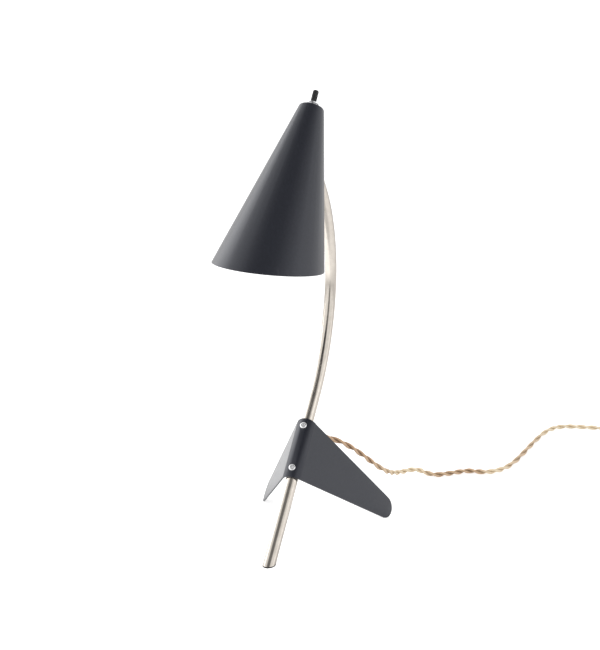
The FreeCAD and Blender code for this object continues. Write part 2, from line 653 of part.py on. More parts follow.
def make_nipple_pieces():
    """Washer, nut and lead that turn with the fork."""
    bore = "nipple_diameter / 2 + slide_fit"
    ring = turned("nipple_washer_diameter / 2", "nipple_washer_thickness", in_wall(washer_start))
    hole = turned(bore, "2 * nipple_washer_thickness", in_wall(washer_start) - 0.4)
    node("nipple_washer", cut(ring, hole), fork_frame)
    nut = hexagon("nipple_nut_flats", "nipple_nut_thickness", in_wall(nut_start))
    hole = turned(bore, "2 * nipple_nut_thickness", in_wall(nut_start) - 0.4)
    node("nipple_nut", cut(nut, hole), fork_frame)
    start = Vector(0, 0, 2.0)
    end = Vector(0, 0, in_wall(nipple_end))
    edges = [Part.LineSegment(start, end).toShape()]
    tube_node("nipple_lead", edges, mm.lead_diameter, Vector(0, 0, 1), fork_frame)


def shade_cone(inset):
    """Solid cone of the shade's outside, or of its inside where inset is the wall."""
    blank = "shade_length * 1.35"
    wide = "shade_top_diameter / 2 + %s * tan(shade_half_angle)" % blank
    if inset:
        narrow = "shade_top_diameter / 2 + shade_wall * tan(shade_half_angle) - shade_wall / cos(shade_half_angle)"
        obj = turned(wide + " - shade_wall / cos(shade_half_angle)", blank + " - shade_wall",
                     -1.35 * mm.shade_length, top=narrow)
    else:
        obj = turned(wide, blank, -1.35 * mm.shade_length, top="shade_top_diameter / 2")
    return obj


def make_shade():
    """Conical shade with a rounded top and an oblique rim."""
    outside = rounded(shade_cone(False), mm.shoulder_radius, circle_at(0.0))
    inside = rounded(shade_cone(True), mm.shoulder_radius - mm.shade_wall, circle_at(-mm.shade_wall))
    rim = Placement(Vector(0, 0, -mm.shade_length), along_x(mm.rim_cut))
    below = block("3 * shade_length", "3 * shade_length", "shade_length", -mm.shade_length, rim)
    top_hole = turned("bush_diameter / 2 + slide_fit", "4 * shade_wall", -2 * mm.shade_wall)
    side_hole = turned("nipple_diameter / 2 + nipple_hole_gap", "saddle_diameter",
                       -mm.saddle_diameter / 2, wall_frame)
    node("shade", cut(outside, fused(inside, below), fused(top_hole, side_hole)), head_frame)


def make_saddles():
    """Rings shaped to the conical wall, outside and inside it."""
    bore = "nipple_diameter / 2 + running_fit"
    hole = turned(bore, "4 * saddle_diameter", -2 * mm.saddle_diameter, wall_frame)
    ring = turned("saddle_diameter / 2", "saddle_outer_thickness + saddle_diameter / 4",
                  -mm.saddle_outer_thickness, wall_frame)
    node("saddle_outer", cut(ring, shade_cone(False), hole), head_frame)
    depth = "shade_wall + saddle_inner_thickness"
    ring = turned("saddle_diameter / 2", depth, 0.0, wall_frame)
    node("saddle_inner", cut(common(ring, shade_cone(True)), hole), head_frame)


shelf_top = -mm.holder_drop
shelf_under = shelf_top - mm.bracket_thickness


def make_holder_bracket():
    """Bent strap from the nipple down to the shelf that carries the lampholder."""
    start = mm.shade_wall + mm.saddle_inner_thickness
    drop = mm.holder_drop + mm.bracket_thickness - mm.joint_drop
    leg_length = drop / math.cos(half_angle) - start * math.tan(half_angle)
    leg = doc.addObject("Part::Box", "bracket_leg")
    bind(leg, Length="bracket_width", Height="bracket_thickness")
    leg.Width = leg_length + mm.bracket_head - mm.bracket_thickness / 2
    corner = Vector(-mm.bracket_width / 2, mm.bracket_thickness / 2 - leg_length, start)
    leg.Placement = wall_frame * Placement(corner, Rotation())
    foot = wall_frame.multVec(Vector(0, -leg_length, start + mm.bracket_thickness / 2))
    shelf = doc.addObject("Part::Box", "bracket_shelf")
    bind(shelf, Length="bracket_width", Height="bracket_thickness")
    shelf.Width = foot.y + mm.shelf_reach
    shelf.Placement = Placement(Vector(-mm.bracket_width / 2, -mm.shelf_reach, shelf_under), Rotation())
    side_hole = turned("nipple_diameter / 2 + running_fit", "4 * bracket_thickness",
                       start - mm.bracket_thickness, wall_frame)
    stem_hole = turned("holder_nipple_diameter / 2 + slide_fit", "4 * bracket_thickness",
                       shelf_under - mm.bracket_thickness)
    node("holder_bracket", cut(fused(leg, shelf), side_hole, stem_hole), head_frame)


roof_under = shelf_under - mm.holder_roof
insert_top = roof_under - mm.insert_gap
insert_under = insert_top - mm.insert_length
contact_under = insert_under - mm.contact_height
base_under = contact_under - mm.bulb_tip_length - mm.bulb_base_length


def make_lampholder():
    """Lampholder hung from the bracket's shelf by a hollow threaded nipple and its nut."""
    stem_radius = "holder_nipple_diameter / 2"
    stem_length = "holder_nut_thickness + bracket_thickness + holder_roof + 2 * nipple_spare"
    stem = turned(stem_radius, stem_length, roof_under - mm.nipple_spare)
    bore = turned("holder_nipple_bore / 2", "2 * holder_length", roof_under - 2 * mm.nipple_spare)
    node("holder_nipple", cut(stem, bore), head_frame)
    hole = turned(stem_radius + " + slide_fit", "2 * holder_length", roof_under - mm.holder_wall)
    node("holder_nut", cut(hexagon("holder_nut_flats", "holder_nut_thickness", shelf_top), hole), head_frame)
    body = turned("holder_diameter / 2", "holder_length", shelf_under - mm.holder_length)
    inside = turned("holder_diameter / 2 - holder_wall", "holder_length", roof_under - mm.holder_length)
    node("holder_shell", cut(body, inside, hole), head_frame)
    insert = turned("holder_diameter / 2 - holder_wall - slide_fit", "insert_length", insert_under)
    node("holder_insert", insert, head_frame)
    sleeve = turned("sleeve_diameter / 2", "sleeve_length", insert_under - mm.sleeve_length)
    thread = turned("sleeve_bore / 2", "2 * sleeve_length", insert_under - 1.5 * mm.sleeve_length)
    node("holder_sleeve", cut(sleeve, thread), head_frame)
    contact = turned("contact_diameter / 2", "contact_height", contact_under)
    node("holder_contact", contact, head_frame)


def make_bulb():
    """Screw base and thin opal globe with a tapering neck."""
    shell = turned("bulb_base_diameter / 2", "bulb_base_length", base_under)
    tip = turned("bulb_base_diameter / 2", "bulb_tip_length", contact_under - mm.bulb_tip_length,
                 top="contact_diameter / 2")
    node("bulb_base", fused(shell, tip), head_frame)
    centre = base_under - mm.bulb_length + mm.bulb_diameter / 2
    node("bulb_glass", cut(globe(centre, 0.0), globe(centre, mm.bulb_wall)), head_frame)


def globe(centre, inset):
    """A sphere and the neck cone that touches it, smaller by the inset."""
    radius = mm.bulb_diameter / 2 - inset
    neck = mm.bulb_base_diameter / 2 - 0.3 - inset
    height = base_under - centre
    reach = math.hypot(height, neck)
    spread = math.atan2(neck, height) + math.acos(radius / reach)
    ball = doc.addObject("Part::Sphere", "ball")
    bind(ball, Radius="bulb_diameter / 2 - %s" % ("bulb_wall" if inset else "0"))
    ball.Placement = Placement(Vector(0, 0, centre), Rotation())
    taper = doc.addObject("Part::Cone", "neck")
    taper.Radius1 = radius * math.sin(spread)
    taper.Radius2 = neck
    taper.Height = height - radius * math.cos(spread)
    taper.Placement = Placement(Vector(0, 0, centre + radius * math.cos(spread)), Rotation())
    return fused(ball, taper)


def make_switch():
    """Rotary switch under the shade's top, clamped by a nut with a dress ring above it."""
    body = turned("switch_diameter / 2", "switch_length", -mm.shade_wall - mm.switch_length)
    well = turned("spindle_diameter / 2 + running_fit", "2 * spindle_depth",
                  -mm.shade_wall - mm.spindle_depth - 0.5)
    node("switch_body", cut(body, well), head_frame)
    bush = turned("bush_diameter / 2", "shade_wall + bush_rise", -mm.shade_wall)
    through = turned("spindle_diameter / 2 + running_fit", "4 * bush_rise", -2 * mm.bush_rise)
    node("switch_bush", cut(bush, through), head_frame)
    hole = turned("bush_diameter / 2 + slide_fit", "4 * bush_rise", -2 * mm.bush_rise)
    washer = turned("washer_diameter / 2", "washer_thickness")
    node("switch_washer", cut(washer, hole), head_frame)
    nut = hexagon("switch_nut_flats", "switch_nut_thickness", mm.washer_thickness)
    node("switch_nut", cut(nut, hole), head_frame)
    ring_start = mm.washer_thickness + mm.switch_nut_thickness + mm.ring_gap
    ring = turned("ring_diameter / 2", "ring_thickness", ring_start)
    node("switch_ring", cut(ring, hole), head_frame)


def make_knob():
    """Knurled knob on the switch's spindle."""
    start = mm.bush_rise + mm.knob_gap
    stick = turned("knob_diameter / 2", "knob_length", start)
    stick = rounded(stick, mm.knob_round, circle_at(start + mm.knob_length))
    grooves = []
    for step in range(KNURL_GROOVES):
        turn = 2 * math.pi * step / KNURL_GROOVES
        groove = turned("groove_diameter / 2", "knob_length", start)
        way = Vector(math.cos(turn), math.sin(turn), 0) * (mm.knob_diameter / 2)
        groove.Placement = Placement(way + Vector(0, 0, start - mm.knob_round), Rotation())
        grooves.append(groove)
    socket = turned("spindle_diameter / 2 + slide_fit", "spindle_grip + knob_gap", start - mm.knob_gap)
    node("switch_knob", cut(stick, socket, *grooves), head_frame)
    length = "spindle_depth + shade_wall + bush_rise + knob_gap + spindle_grip"
    spindle = turned("spindle_diameter / 2", length, -mm.shade_wall - mm.spindle_depth)
    node("switch_spindle", spindle, head_frame)


def rounded_edges(points, bend=None, share=0.45):
    """Straight runs joined by tangent arcs, with the tightest radius used."""
    edges = []
    tightest = math.inf
    start = points[0]
    for before, corner, after in zip(points, points[1:], points[2:]):
        back = before - corner
        ahead = after - corner
        turn = math.pi - back.getAngle(ahead)
        limit = share * min(back.Length, ahead.Length) / math.tan(turn / 2)
        radius = limit if bend is None else min(bend, limit)
        tightest = min(tightest, radius)
        trim = radius * math.tan(turn / 2)
        enter = corner + back.normalize() * trim
        leave = corner + ahead.normalize() * trim
        middle = (back + ahead).normalize() * (radius / math.cos(turn / 2) - radius)
        edges.append(Part.LineSegment(start, enter).toShape())
        edges.append(Part.Arc(enter, corner + middle, leave).toShape())
        start = leave
    edges.append(Part.LineSegment(start, points[-1]).toShape())
    return edges, tightest


def make_head_leads():
    """Single leads from the nipple to the switch, from there to the holder, and back."""
    begin = wall_frame.multVec(Vector(0, 0, nipple_end + 1.0))
    aside = Vector(mm.core_spread, 0, 0)
    way = wall_frame.Rotation.multVec(Vector(0, 0, 1))
    turn_point = begin + way * (begin.y - mm.switch_diameter / 4) / abs(way.y)
    switch_under = -mm.shade_wall - mm.switch_length
    upper = Vector(0, turn_point.y, switch_under)
    points = [begin + aside, turn_point + aside, upper + aside]
    edges, tightest = rounded_edges(points, mm.core_bend)
    tube_node("switch_lead", edges, mm.core_diameter, way, head_frame)
    mouth = Vector(0, mm.core_spread, shelf_top + mm.holder_nut_thickness + mm.nipple_spare + 3.0)
    foot = Vector(0, mm.core_spread, insert_top + 0.2)
    points = [begin - aside, mouth - aside, foot - aside]
    edges, tightest = rounded_edges(points, mm.core_bend)
    tube_node("return_lead", edges, mm.core_diameter, (mouth - begin).normalize(), head_frame)
    top = Vector(0, -mm.switch_diameter / 4, switch_under)
    knee = Vector(0, -mm.switch_diameter / 4, (switch_under + mouth.z) / 2)
    low = Vector(0, -1.5 * mm.core_spread, mouth.z)
    foot = Vector(0, -1.5 * mm.core_spread, insert_top + 0.2)
    edges, tightest = rounded_edges([top, knee, low, foot], mm.core_bend)
    tube_node("holder_lead", edges, mm.core_diameter, Vector(0, 0, -1), head_frame)


def table_point(point):
    """A point given right, back and up from where the tube's axis meets the table."""
    return Vector(point[0], point[1] - mm.rod_setback, point[2])


def make_cord_run():
    """Free cord from the grommet to the table and along it to the coil."""
    begin = rod_frame.multVec(Vector(0, bore_radius, mm.cord_exit))
    way = rod_frame.Rotation.multVec(Vector(0, 1, 0))
    points = [begin, begin + way * CORD_FIRST_RUN]
    points = points + [table_point(point) for point in CORD_ROUTE]
    edges, tightest = rounded_edges(points)
    print("cord_run: tightest bend %.1f mm" % tightest)
    tube_node("cord_run", edges, mm.cord_diameter, way)


coil_start = table_point(CORD_ROUTE[-1]) + Vector(mm.cord_diameter, 0, 0)
coil_centre = coil_start - Vector(0, mm.coil_radius, 0)


def coil_point(turn):
    """The coil's centreline: in on the lower layer, out on the upper one."""
    radius = mm.coil_radius - mm.coil_pitch * min(turn, COIL_TURNS - turn)
    angle = math.pi / 2 - 2 * math.pi * turn
    climb = min(max((turn - COIL_TURNS / 2) * 2 + 0.5, 0.0), 1.0)
    climb = climb * climb * (3 - 2 * climb)
    return coil_centre + Vector(radius * math.cos(angle), radius * math.sin(angle), mm.coil_pitch * climb)


def biarc(start, start_way, end, end_way):
    """Two tangent arcs between two points with given directions."""
    chord = end - start
    both = chord.dot(start_way + end_way)
    spread = 1 - start_way.dot(end_way)
    reach = (math.sqrt(both * both + 2 * spread * chord.dot(chord)) - both) / (2 * spread)
    joint = (start + end + (start_way - end_way) * reach) * 0.5
    edges = []
    for first, last, corner in ((start, joint, start + start_way * reach), (joint, end, end - end_way * reach)):
        middle = (first + last) * 0.5
        cosine = (last - first).Length / 2 / reach
        bulge = (corner - middle) * (cosine / (1 + cosine))
        edges.append(Part.Arc(first, middle + bulge, last).toShape())
    return edges


def coil_edges():
    steps = round(COIL_TURNS * 4)
    turns = [COIL_TURNS * step / steps for step in range(steps + 1)]
    points = [coil_point(turn) for turn in turns]
    ways = [(coil_point(turn + 0.01) - coil_point(turn - 0.01)).normalize() for turn in turns]
    ways[0] = Vector(1, 0, 0)
    ways[-1] = Vector(0, -1, 0)
    edges = [Part.LineSegment(points[0] - ways[0] * mm.cord_diameter, points[0]).toShape()]
    for step in range(steps):
        edges = edges + biarc(points[step], ways[step], points[step + 1], ways[step + 1])
    coil_end = points[-1] + ways[-1] * mm.coil_tail
    edges.append(Part.LineSegment(points[-1], coil_end).toShape())
    return edges, coil_end


def own_gap(edges):
    """Least gap between parts of the coil that are not neighbours along it."""
    points = [point for edge in edges for point in edge.discretize(12)[:-1]]
    least = math.inf
    for index, point in enumerate(points):
        for other in points[index + 24:]:
            least = min(least, point.distanceToPoint(other))
    return least - mm.cord_diameter, points


def make_cord_coil():
    """Rest of the cord laid in two layers of a flat coil, with its tie and plug."""
    edges, coil_end = coil_edges()
    gap, points = own_gap(edges)
    print("cord_coil: least gap between turns %.2f mm" % gap)
    tube_node("cord_coil", edges, mm.cord_diameter, Vector(1, 0, 0))
    make_coil_tie(points)
    make_plug(Placement(coil_end, along_x(90)))


def make_coil_tie(points):
    """Band round all the turns on the coil's left side."""
    near = []
    for point in points:
        if abs(point.y - coil_centre.y) < mm.tie_width and point.x < coil_centre.x:
            near.append(point)
    spare = mm.cord_diameter / 2 + mm.tie_gap
    low = Vector(min(p.x for p in near) - spare, coil_centre.y - mm.tie_width / 2, mm.coil_lift - spare)
    high = Vector(max(p.x for p in near) + spare, 0, max(p.z for p in near) + spare)
    inside = doc.addObject("Part::Box", "tie_inside")
    inside.Length = high.x - low.x
    inside.Height = high.z - low.z
    bind(inside, Width="3 * tie_width")
    inside.Placement = Placement(low - Vector(0, mm.tie_width, 0), Rotation())
    outside = doc.addObject("Part::Box", "tie_outside")
    bind(outside, Width="tie_width")
    outside.Length = high.x - low.x + 2 * mm.tie_thickness
    outside.Height = high.z - low.z + 2 * mm.tie_thickness
    outside.Placement = Placement(low - Vector(mm.tie_thickness, 0, mm.tie_thickness), Rotation())
    node("coil_tie", cut(outside, inside))


def make_plug(frame):
    """Two-blade mains plug lying on the table."""
    height = 2 * (mm.coil_lift + mm.coil_pitch - 2 * mm.floor_gap)
    body = doc.addObject("Part::Box", "plug_block")
    bind(body, Length="plug_width", Height="plug_length")
    body.Width = height
    body.Placement = Placement(Vector(-mm.plug_width / 2, -height / 2, mm.plug_collar), Rotation())
    body = rounded(body, mm.plug_round, lambda edge: True)
    collar = turned("cord_diameter / 2 + 1.6", "plug_collar + plug_round", top="plug_width / 3")
    node("plug_body", fused(body, collar), frame)
    face = mm.plug_collar + mm.plug_length
    right = block("blade_thickness", "blade_width", "blade_length", face, shift=(mm.blade_spacing / 2, 0.0))
    node("plug_blades", group(right, mirrored(right)), frame)


make_rod()
make_foot_plug()
make_crow_foot()
make_foot_screws()
make_screw_dowel()
make_cord_grommet()
make_inner_lead()
make_knuckle_base()
make_knuckle_fork()
make_pivot_screws()
make_nipple_pieces()
make_shade()
make_saddles()
make_holder_bracket()
make_lampholder()
make_bulb()
make_switch()
make_knob()
make_head_leads()
make_cord_run()
make_cord_coil()
doc.recompute()

for obj in doc.Objects:
    if "Invalid" in obj.State or "Error" in obj.State:
        raise RuntimeError("%s (%s) does not build: %s" % (obj.Name, obj.Label, obj.State))
extent = FreeCAD.BoundBox()
for label, obj in nodes.items():
    if obj.Shape.isNull() or not obj.Shape.isValid():
        raise RuntimeError("%s has no valid shape" % label)
    obj.Shape.exportStep("parts/%s.step" % label)
    box = obj.Shape.optimalBoundingBox(False)
    if label not in CORD_NODES:
        extent.add(box)
    print("%-16s %2d solids %10.1f mm3  x %.1f %.1f  y %.1f %.1f  z %.2f %.2f" % (
        label, len(obj.Shape.Solids), obj.Shape.Volume,
        box.XMin, box.XMax, box.YMin, box.YMax, box.ZMin, box.ZMax))
print("lamp without its cord: x %.2f %.2f  y %.2f %.2f  z %.2f %.2f" % (
    extent.XMin, extent.XMax, extent.YMin, extent.YMax, extent.ZMin, extent.ZMax))
print("pivot %.2f %.2f %.2f" % (pivot.x, pivot.y, pivot.z))
print("nipple axis %.5f %.5f %.5f" % (inward.x, inward.y, inward.z))
spin_axis = head_turn.multVec(Vector(0, 0, 1))
print("shade axis %.5f %.5f %.5f through %.3f %.3f %.3f" % (
    spin_axis.x, spin_axis.y, spin_axis.z, head_origin.x, head_origin.y, head_origin.z))
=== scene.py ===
import bmesh
import bpy
import json
import math
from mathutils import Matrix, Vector


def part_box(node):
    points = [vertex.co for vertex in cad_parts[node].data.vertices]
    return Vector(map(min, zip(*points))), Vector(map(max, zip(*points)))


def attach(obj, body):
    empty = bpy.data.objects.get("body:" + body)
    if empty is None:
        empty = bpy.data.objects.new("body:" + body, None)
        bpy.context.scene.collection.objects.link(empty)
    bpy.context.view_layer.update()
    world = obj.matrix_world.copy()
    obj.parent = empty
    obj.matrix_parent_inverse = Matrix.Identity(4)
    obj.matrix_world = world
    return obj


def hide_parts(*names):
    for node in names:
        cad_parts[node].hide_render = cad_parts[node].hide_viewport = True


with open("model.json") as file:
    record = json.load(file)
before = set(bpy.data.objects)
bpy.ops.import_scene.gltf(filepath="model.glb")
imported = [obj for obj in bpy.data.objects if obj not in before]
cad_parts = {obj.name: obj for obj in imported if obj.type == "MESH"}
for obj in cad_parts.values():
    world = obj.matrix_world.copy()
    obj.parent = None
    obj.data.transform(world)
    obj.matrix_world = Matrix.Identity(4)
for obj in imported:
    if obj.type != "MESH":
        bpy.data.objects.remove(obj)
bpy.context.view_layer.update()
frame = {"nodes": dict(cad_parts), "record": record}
lamp = frame["nodes"]

# Bent tube: half-inch nickel-plated steel tube, bent twice, that stands on its lower end.
# The plating is fine satin, with faint grain lines left by polishing.
TUBE_TONES = (0.575, 0.528, 0.474, 1), (0.630, 0.582, 0.524, 1)
TUBE_ROUGHNESS = 0.13, 0.18
TUBE_GRAIN = 1, 0.08, 0.08
PLATING_CLOUDS = 160.0
PLATING_SHEEN = 700.0
PLATING_GRAIN = 1500.0
PLATING_RELIEF = 0.02
GRAIN_DEPTH = 0.0001
NOISE_TONES = 0.35, 0.65
NOISE_SPREAD = 0.3, 0.7


def new_finish(name):
    material = bpy.data.materials.new(name)
    material.use_nodes = True
    tree = material.node_tree
    return material, tree, tree.nodes["Principled BSDF"]


def mottle(tree, scale, detail=3.0, stretch=(1, 1, 1)):
    place = tree.nodes.new("ShaderNodeTexCoord")
    mapping = tree.nodes.new("ShaderNodeMapping")
    mapping.inputs["Scale"].default_value = stretch
    noise = tree.nodes.new("ShaderNodeTexNoise")
    noise.inputs["Scale"].default_value = scale
    noise.inputs["Detail"].default_value = detail
    tree.links.new(place.outputs["Object"], mapping.inputs["Vector"])
    tree.links.new(mapping.outputs["Vector"], noise.inputs["Vector"])
    return noise.outputs["Fac"]


def ranged(tree, value, span, ends, easing="LINEAR"):
    ramp = tree.nodes.new("ShaderNodeMapRange")
    ramp.interpolation_type = easing
    for socket, number in zip(("From Min", "From Max", "To Min", "To Max"), (*span, *ends)):
        ramp.inputs[socket].default_value = number
    tree.links.new(value, ramp.inputs["Value"])
    return ramp.outputs["Result"]


def two_tone(tree, factor, tones, span=NOISE_TONES):
    ramp = tree.nodes.new("ShaderNodeValToRGB")
    for stop, position, tone in zip(ramp.color_ramp.elements, span, tones):
        stop.position = position
        stop.color = tone
    tree.links.new(factor, ramp.inputs["Fac"])
    return ramp.outputs["Color"]


def tint(tree, shader, factor, tones):
    tree.links.new(two_tone(tree, factor, tones), shader.inputs["Base Color"])


def roughen(tree, shader, factor, roughness):
    tree.links.new(ranged(tree, factor, NOISE_SPREAD, roughness), shader.inputs["Roughness"])


def raise_grain(tree, shader, height, relief, depth=GRAIN_DEPTH):
    grain = tree.nodes.new("ShaderNodeBump")
    grain.inputs["Strength"].default_value = relief
    grain.inputs["Distance"].default_value = depth
    tree.links.new(height, grain.inputs["Height"])
    tree.links.new(grain.outputs["Normal"], shader.inputs["Normal"])


def plated(name, tones, roughness, stretch=(1, 1, 1)):
    material, tree, shader = new_finish(name)
    shader.inputs["Metallic"].default_value = 1.0
    tint(tree, shader, mottle(tree, PLATING_CLOUDS), tones)
    roughen(tree, shader, mottle(tree, PLATING_SHEEN, detail=4.0, stretch=stretch), roughness)
    grain = mottle(tree, PLATING_GRAIN, detail=2.0, stretch=stretch)
    raise_grain(tree, shader, grain, PLATING_RELIEF)
    return material


def dress(material, *names):
    for name in names:
        slots = lamp[name].data.materials
        slots.clear()
        slots.append(material)


satin_nickel = plated("satin_nickel", TUBE_TONES, TUBE_ROUGHNESS, TUBE_GRAIN)
dress(satin_nickel, "rod")

# Foot plug: black moulded plug pressed into the tube's lower end, with a thin lip under the level cut.
# Its fine matt texture comes from the mould.
BLACK_TONES = (0.006, 0.006, 0.007, 1), (0.014, 0.014, 0.015, 1)
BLACK_ROUGHNESS = 0.38, 0.52
MOULD_CLOUDS = 240.0
MOULD_SHEEN = 900.0
MOULD_GRAIN = 2600.0
MOULD_RELIEF = 0.25


def moulded(name, tones, roughness, grain=MOULD_GRAIN):
    material, tree, shader = new_finish(name)
    tint(tree, shader, mottle(tree, MOULD_CLOUDS), tones)
    roughen(tree, shader, mottle(tree, MOULD_SHEEN), roughness)
    raise_grain(tree, shader, mottle(tree, grain, detail=2.0), MOULD_RELIEF)
    return material


black_plastic = moulded("black_plastic", BLACK_TONES, BLACK_ROUGHNESS)
dress(black_plastic, "foot_plug")

# Folded foot: one sheet of steel folded round the front of the tube into two wings.
# It is powder coated in matt charcoal, and its cut edges are eased.
PAINT_TONES = (0.0088, 0.0099, 0.0148, 1), (0.0116, 0.0129, 0.0188, 1)
PAINT_ROUGHNESS = 0.29, 0.35
PAINT_GLOSS = (0.90, 0.92, 1.0, 1)
PAINT_SPECULAR = 0.64
PAINT_CLOUDS = 420.0
PAINT_SHEEN = 1100.0
PAINT_GRAIN = 2400.0
PAINT_RELIEF = 0.05
SHEET_EASE = 0.00035
EASE_STEPS = 3
MERGE_WITHIN = 0.000002
FLAT_BELOW = math.radians(0.2)
SHARP_ABOVE = math.radians(35)
SMOOTH_BELOW = math.radians(40)


def powder_coated(name):
    material, tree, shader = new_finish(name)
    tint(tree, shader, mottle(tree, PAINT_CLOUDS, detail=4.0), PAINT_TONES)
    roughen(tree, shader, mottle(tree, PAINT_SHEEN), PAINT_ROUGHNESS)
    raise_grain(tree, shader, mottle(tree, PAINT_GRAIN, detail=2.0), PAINT_RELIEF)
    shader.inputs["Specular IOR Level"].default_value = PAINT_SPECULAR
    shader.inputs["Specular Tint"].default_value = PAINT_GLOSS
    return material


def own_copy(node, name):
    piece = lamp[node].copy()
    piece.data = lamp[node].data.copy()
    piece.name = name
    for key in list(piece.keys()):
        del piece[key]
    piece.parent = None
    bpy.context.scene.collection.objects.link(piece)
    bpy.ops.object.select_all(action="DESELECT")
    piece.select_set(True)
    bpy.context.view_layer.objects.active = piece
    return piece


def eased(node, name, ease, body, material):
    piece = own_copy(node, name)
    bpy.ops.mesh.customdata_custom_splitnormals_clear()
    bpy.ops.object.mode_set(mode="EDIT")
    bpy.ops.mesh.select_all(action="SELECT")
    bpy.ops.mesh.remove_doubles(threshold=MERGE_WITHIN)
    bpy.ops.mesh.dissolve_limited(angle_limit=FLAT_BELOW)
    bpy.ops.object.mode_set(mode="OBJECT")
    edges = piece.modifiers.new("eased_edges", "BEVEL")
    edges.width = ease
    edges.segments = EASE_STEPS
    edges.limit_method = "ANGLE"
    edges.angle_limit = SHARP_ABOVE
    bpy.ops.object.modifier_apply(modifier="eased_edges")
    bpy.ops.object.shade_smooth_by_angle(angle=SMOOTH_BELOW)
    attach(piece, body)
    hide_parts(node)
    piece.data.materials.clear()
    piece.data.materials.append(material)
    return piece


charcoal = powder_coated("charcoal_powder_coat")
eased("crow_foot", "folded_foot", SHEET_EASE, "stand", charcoal)

# Foot screws: two bright pan-head screws, which go through the fold and the tube into a steel dowel.
# They are nickel plated, with a cross recess, and the dowel is zinc plated.
SCREW_TONES = (0.75, 0.75, 0.76, 1), (0.83, 0.83, 0.84, 1)
SCREW_ROUGHNESS = 0.12, 0.20
ZINC_TONES = (0.50, 0.50, 0.50, 1), (0.66, 0.66, 0.65, 1)
ZINC_ROUGHNESS = 0.30, 0.42
bright_nickel = plated("bright_nickel", SCREW_TONES, SCREW_ROUGHNESS)
dress(bright_nickel, "foot_screws")
plain_steel = plated("zinc_plate", ZINC_TONES, ZINC_ROUGHNESS)
dress(plain_steel, "screw_dowel")

# Grommet: black rubber sleeve in the tube's back wall that the cord leaves through.
# The lead inside the tube starts behind it, in a beige plastic sleeve.
GROMMET_EASE = 0.0003
RUBBER_TONES = (0.012, 0.012, 0.012, 1), (0.022, 0.021, 0.020, 1)
RUBBER_ROUGHNESS = 0.60, 0.75
RUBBER_GRAIN = 1800.0
SLEEVE_TONES = (0.50, 0.46, 0.39, 1), (0.60, 0.56, 0.49, 1)
SLEEVE_ROUGHNESS = 0.45, 0.60
SLEEVE_GRAIN = 1500.0
rubber = moulded("black_rubber", RUBBER_TONES, RUBBER_ROUGHNESS, RUBBER_GRAIN)
eased("cord_grommet", "rubber_grommet", GROMMET_EASE, "stand", rubber)
sleeve = moulded("lead_sleeve", SLEEVE_TONES, SLEEVE_ROUGHNESS, SLEEVE_GRAIN)
dress(sleeve, "inner_lead")

# Knuckle: a collar and tongue pressed into the tube, and a fork with two ears about the tongue.
# Both are nickel plated, and two small screws make the pivot.
KNUCKLE_EASE = 0.0003
eased("knuckle_base", "knuckle_collar", KNUCKLE_EASE, "stand", satin_nickel)
eased("knuckle_fork", "knuckle_ears", KNUCKLE_EASE, "knuckle", satin_nickel)
dress(bright_nickel, "pivot_screws")
dress(plain_steel, "nipple_washer", "nipple_nut")

# Fork lead: the sleeved lead that comes out of the fork's hollow nipple into the shade.
# It starts at the fork's base, so that the tongue clears it when the head tilts.
LEAD_EASE = 0.0002
LEAD_START = 0.0062


def joint_line(name):
    joint = next(joint for joint in frame["record"]["behaviour"]["joints"] if joint["name"] == name)
    return Vector(joint["pos_m"]), Vector(joint["axis"]).normalized()


eased("nipple_lead", "fork_lead", LEAD_EASE, "knuckle", sleeve)
pivot, out_of_shade = joint_line("shade_turn")
into_shade = -out_of_shade
bpy.ops.object.mode_set(mode="EDIT")
bpy.ops.mesh.select_all(action="SELECT")
bpy.ops.mesh.bisect(plane_co=pivot + into_shade * LEAD_START, plane_no=into_shade,
                    clear_inner=True, use_fill=True)
bpy.ops.object.mode_set(mode="OBJECT")

# Shade: spun sheet cone with a rounded top and a slanted mouth, powder coated as the foot is.
# Two moulded saddles clamp its wall on the fork's nipple.
SHADE_EASE = 0.0003
SHADE_SLOPE = math.radians(13.63)
FACET_SPREAD = math.cos(math.radians(3))
SADDLE_EASE = 0.0004


def true_cone(piece, top, axis, slope):
    mesh = piece.data
    normals = [corner.vector.copy() for corner in mesh.corner_normals]
    for polygon in mesh.polygons:
        for loop in polygon.loop_indices:
            place = mesh.vertices[mesh.loops[loop].vertex_index].co - top
            out = (place - axis * place.dot(axis)).normalized()
            true = out * math.cos(slope) + axis * math.sin(slope)
            if polygon.normal.dot(true) > FACET_SPREAD:
                normals[loop] = true
            if polygon.normal.dot(true) < -FACET_SPREAD:
                normals[loop] = -true
    mesh.normals_split_custom_set(normals)


shade = eased("shade", "spun_shade", SHADE_EASE, "head", charcoal)
true_cone(shade, *joint_line("switch_turn"), SHADE_SLOPE)
eased("saddle_outer", "outer_saddle", SADDLE_EASE, "head", black_plastic)
dress(black_plastic, "saddle_inner")

# Lampholder: a steel bracket on the nipple carries a black moulded shell with a threaded sleeve.
# The insert is glazed ceramic and the contact is brass.
CERAMIC_TONES = (0.74, 0.73, 0.69, 1), (0.82, 0.81, 0.77, 1)
CERAMIC_ROUGHNESS = 0.15, 0.25
CERAMIC_GRAIN = 600.0
BRASS_TONES = (0.58, 0.42, 0.16, 1), (0.70, 0.53, 0.24, 1)
BRASS_ROUGHNESS = 0.22, 0.34
dress(plain_steel, "holder_bracket", "holder_nipple", "holder_nut")
dress(black_plastic, "holder_shell")
ceramic = moulded("glazed_ceramic", CERAMIC_TONES, CERAMIC_ROUGHNESS, CERAMIC_GRAIN)
dress(ceramic, "holder_insert")
brass = plated("plain_brass", BRASS_TONES, BRASS_ROUGHNESS)
dress(brass, "holder_sleeve", "holder_contact")

